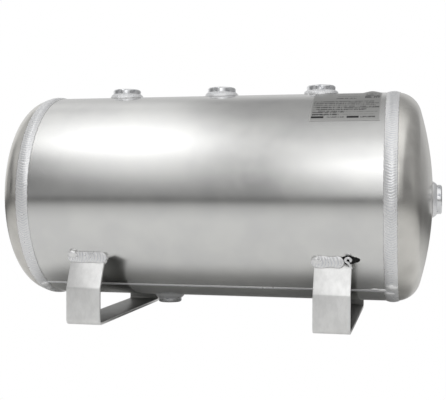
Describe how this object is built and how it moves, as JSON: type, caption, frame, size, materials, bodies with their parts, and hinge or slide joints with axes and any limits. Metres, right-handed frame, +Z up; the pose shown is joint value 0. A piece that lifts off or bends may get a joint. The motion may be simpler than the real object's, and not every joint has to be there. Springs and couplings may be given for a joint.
{
  "type": "air receiver tank",
  "caption": "Horizontal cylindrical air tank with dished ends, welded threaded ports on top, underneath and at one end, and two bent strap feet.",
  "frame": {"origin": "on the floor under the middle of the overall length, midway between the front and rear of the feet", "axes": "+X along the tank towards the end port, +Y to the rear, +Z up; the label and the long seam are on the -Y side"},
  "size_m": [0.5096, 0.2446, 0.2757],
  "materials": {
    "rolled_sheet": "satin rolled sheet",
    "spun_head": "satin pressed sheet",
    "weld_bead": "bright rippled weld",
    "turned_bar": "bright turned",
    "foot_bar": "mill finish flat bar",
    "label_foil": "printed foil"
  },
  "bodies": {
    "root": {"shell": "rolled_sheet", "head_left": "spun_head", "head_right": "spun_head", "girth_weld_left": "weld_bead", "girth_weld_right": "weld_bead", "long_seam_weld": "weld_bead", "top_port_weld_left": "weld_bead", "top_port_weld_centre": "weld_bead", "top_port_weld_right": "weld_bead", "drain_port_weld": "weld_bead", "end_port_weld": "weld_bead", "foot_left_weld_front": "weld_bead", "foot_left_weld_rear": "weld_bead", "foot_right_weld_front": "weld_bead", "foot_right_weld_rear": "weld_bead", "top_port_left": "turned_bar", "top_port_centre": "turned_bar", "top_port_right": "turned_bar", "drain_port": "turned_bar", "end_port": "turned_bar", "foot_left": "foot_bar", "foot_right": "foot_bar", "rating_label": "label_foil"}
  },
  "joints": []
}
